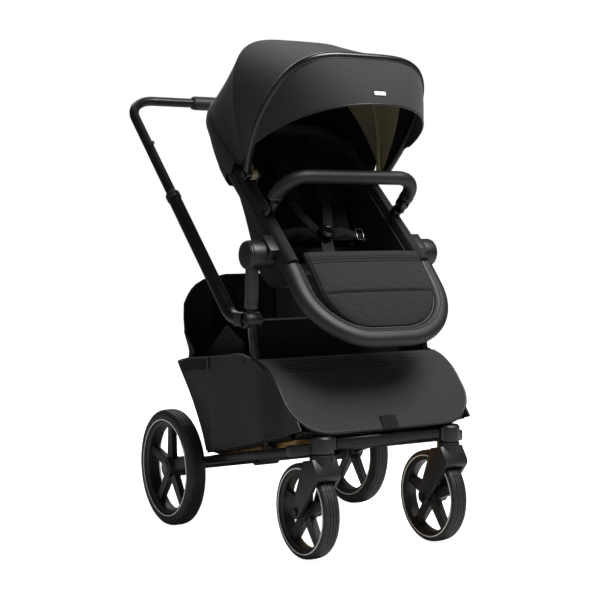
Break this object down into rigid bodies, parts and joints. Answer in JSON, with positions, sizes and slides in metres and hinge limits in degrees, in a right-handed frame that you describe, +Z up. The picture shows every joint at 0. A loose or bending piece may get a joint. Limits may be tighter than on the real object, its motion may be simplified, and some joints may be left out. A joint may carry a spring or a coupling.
{
  "type": "stroller wagon",
  "caption": "Child stroller with a reclining seat and folding hood over a cloth storage tub with a lid, on two swivelling front wheels and two larger rear wheels.",
  "frame": {"origin": "on the ground, below the middle of the whole object", "axes": "+Z up, the front wheels and the seat face -Y, +X is the sitting child's left side"},
  "size_m": [0.6, 0.9638, 1.2307],
  "materials": {
    "black_plastic": "moulded black plastic, fine matt texture",
    "satin_tube": "black powder coat on aluminium tube, satin",
    "bare_tube": "dark anodised aluminium, satin",
    "tyre_rubber": "foam-filled rubber tyre, matt",
    "shell_cloth": "tightly woven black polyester, matt",
    "lining_cloth": "soft black lining cloth, matt",
    "webbing": "black polyester webbing",
    "leatherette": "black leatherette with a fine grain",
    "board_wood": "tan laminated board"
  },
  "bodies": {
    "chassis": {"rear_axle": "satin_tube", "rear_bracket_left": "black_plastic", "rear_bracket_right": "black_plastic", "side_rail_left": "satin_tube", "side_rail_right": "satin_tube", "front_housing_left": "black_plastic", "front_housing_right": "black_plastic", "front_crossbar": "satin_tube", "post_tube_left": "bare_tube", "post_tube_right": "bare_tube", "seat_adapter_left": "black_plastic", "seat_adapter_right": "black_plastic", "floor_board": "board_wood", "basket_tub": "shell_cloth", "basket_divider": "lining_cloth"},
    "rear_wheel_left": {"rear_rim_left": "black_plastic", "rear_tyre_left": "tyre_rubber"},
    "rear_wheel_right": {"rear_rim_right": "black_plastic", "rear_tyre_right": "tyre_rubber"},
    "caster_left": {"caster_fork_left": "black_plastic", "front_axle_left": "bare_tube"},
    "caster_right": {"caster_fork_right": "black_plastic", "front_axle_right": "bare_tube"},
    "front_wheel_left": {"front_rim_left": "black_plastic", "front_tyre_left": "tyre_rubber"},
    "front_wheel_right": {"front_rim_right": "black_plastic", "front_tyre_right": "tyre_rubber"},
    "brake": {"brake_pedal": "black_plastic"},
    "lock_left": {"swivel_lock_left": "black_plastic"},
    "lock_right": {"swivel_lock_right": "black_plastic"},
    "handle_frame": {"handle_lower_left": "satin_tube", "handle_lower_right": "satin_tube"},
    "handle_bar": {"handle_upper": "satin_tube", "handle_grip": "leatherette"},
    "button_left": {"height_button_left": "black_plastic"},
    "button_right": {"height_button_right": "black_plastic"},
    "lid": {"basket_lid": "shell_cloth"},
    "seat": {"backrest_cover": "shell_cloth", "seat_frame": "shell_cloth", "leg_loop": "black_plastic", "seat_hub_left": "black_plastic", "seat_hub_right": "black_plastic", "seat_shell": "shell_cloth", "seat_cushion": "lining_cloth", "backrest_pad": "lining_cloth", "footrest_pad": "shell_cloth", "harness_straps": "webbing", "harness_buckle": "black_plastic", "shoulder_pad_left": "lining_cloth", "shoulder_pad_right": "lining_cloth", "bumper_socket_left": "black_plastic", "bumper_socket_right": "black_plastic", "canopy_clip_left": "black_plastic", "canopy_clip_right": "black_plastic"},
    "bumper": {"bumper_bar": "leatherette"},
    "hood_middle": {"canopy_mid_bow": "black_plastic", "canopy_rear_panel": "shell_cloth"},
    "hood_front": {"canopy_front_bow": "black_plastic", "canopy_front_panel": "shell_cloth", "canopy_visor": "shell_cloth"}
  },
  "joints": [
    {"name": "rear_spin_left", "type": "hinge", "parent": "chassis", "child": "rear_wheel_left", "pos_m": [0.2765, 0.1295, 0.148], "axis": [1, 0, 0], "continuous": true},
    {"name": "rear_spin_right", "type": "hinge", "parent": "chassis", "child": "rear_wheel_right", "pos_m": [-0.2765, 0.1295, 0.148], "axis": [1, 0, 0], "continuous": true},
    {"name": "caster_swivel_left", "type": "hinge", "parent": "chassis", "child": "caster_left", "pos_m": [0.18, -0.4305, 0.25], "axis": [0, 0, 1], "continuous": true},
    {"name": "caster_swivel_right", "type": "hinge", "parent": "chassis", "child": "caster_right", "pos_m": [-0.18, -0.4305, 0.25], "axis": [0, 0, 1], "continuous": true},
    {"name": "front_spin_left", "type": "hinge", "parent": "caster_left", "child": "front_wheel_left", "pos_m": [0.18, -0.3705, 0.1114], "axis": [1, 0, 0], "continuous": true},
    {"name": "front_spin_right", "type": "hinge", "parent": "caster_right", "child": "front_wheel_right", "pos_m": [-0.18, -0.3705, 0.1114], "axis": [1, 0, 0], "continuous": true},
    {"name": "brake_press", "type": "hinge", "parent": "chassis", "child": "brake", "pos_m": [0, 0.1295, 0.148], "axis": [1, 0, 0], "range_deg": [-15, 0]},
    {"name": "lock_flip_left", "type": "hinge", "parent": "chassis", "child": "lock_left", "pos_m": [0.1502, -0.4305, 0.255], "axis": [1, 0, 0], "range_deg": [-15, 0]},
    {"name": "lock_flip_right", "type": "hinge", "parent": "chassis", "child": "lock_right", "pos_m": [-0.1502, -0.4305, 0.255], "axis": [1, 0, 0], "range_deg": [-15, 0]},
    {"name": "handle_fold", "type": "hinge", "parent": "chassis", "child": "handle_frame", "pos_m": [0, -0.2265, 0.545], "axis": [1, 0, 0], "range_deg": [-30, 0]},
    {"name": "handle_slide", "type": "slide", "parent": "handle_frame", "child": "handle_bar", "axis": [0, 0.7254, 0.6884], "range_m": [-0.14, 0]},
    {"name": "button_press_left", "type": "slide", "parent": "handle_bar", "child": "button_left", "axis": [0, 0.6884, -0.7254], "range_m": [0, 0.003]},
    {"name": "button_press_right", "type": "slide", "parent": "handle_bar", "child": "button_right", "axis": [0, 0.6884, -0.7254], "range_m": [0, 0.003]},
    {"name": "lid_open", "type": "hinge", "parent": "chassis", "child": "lid", "pos_m": [0, -0.27, 0.456], "axis": [1, 0, 0], "range_deg": [-25, 0]},
    {"name": "seat_recline", "type": "hinge", "parent": "chassis", "child": "seat", "pos_m": [0, -0.236, 0.698], "axis": [1, 0, 0], "range_deg": [-25, 5]},
    {"name": "bumper_swing", "type": "hinge", "parent": "seat", "child": "bumper", "pos_m": [0, -0.2255, 0.82], "axis": [1, 0, 0], "range_deg": [0, 70]},
    {"name": "hood_middle_fold", "type": "hinge", "parent": "seat", "child": "hood_middle", "pos_m": [0, -0.1275, 0.89], "axis": [1, 0, 0], "range_deg": [-24, 0], "deforming": ["canopy_rear_panel"]},
    {"name": "hood_front_fold", "type": "hinge", "parent": "hood_middle", "child": "hood_front", "pos_m": [0, -0.1275, 0.89], "axis": [1, 0, 0], "range_deg": [-36, 0], "deforming": ["canopy_front_panel"]}
  ],
  "couplings": [
    {"joint": "hood_front_fold", "follows": "hood_middle_fold", "ratio": 1.5}
  ]
}
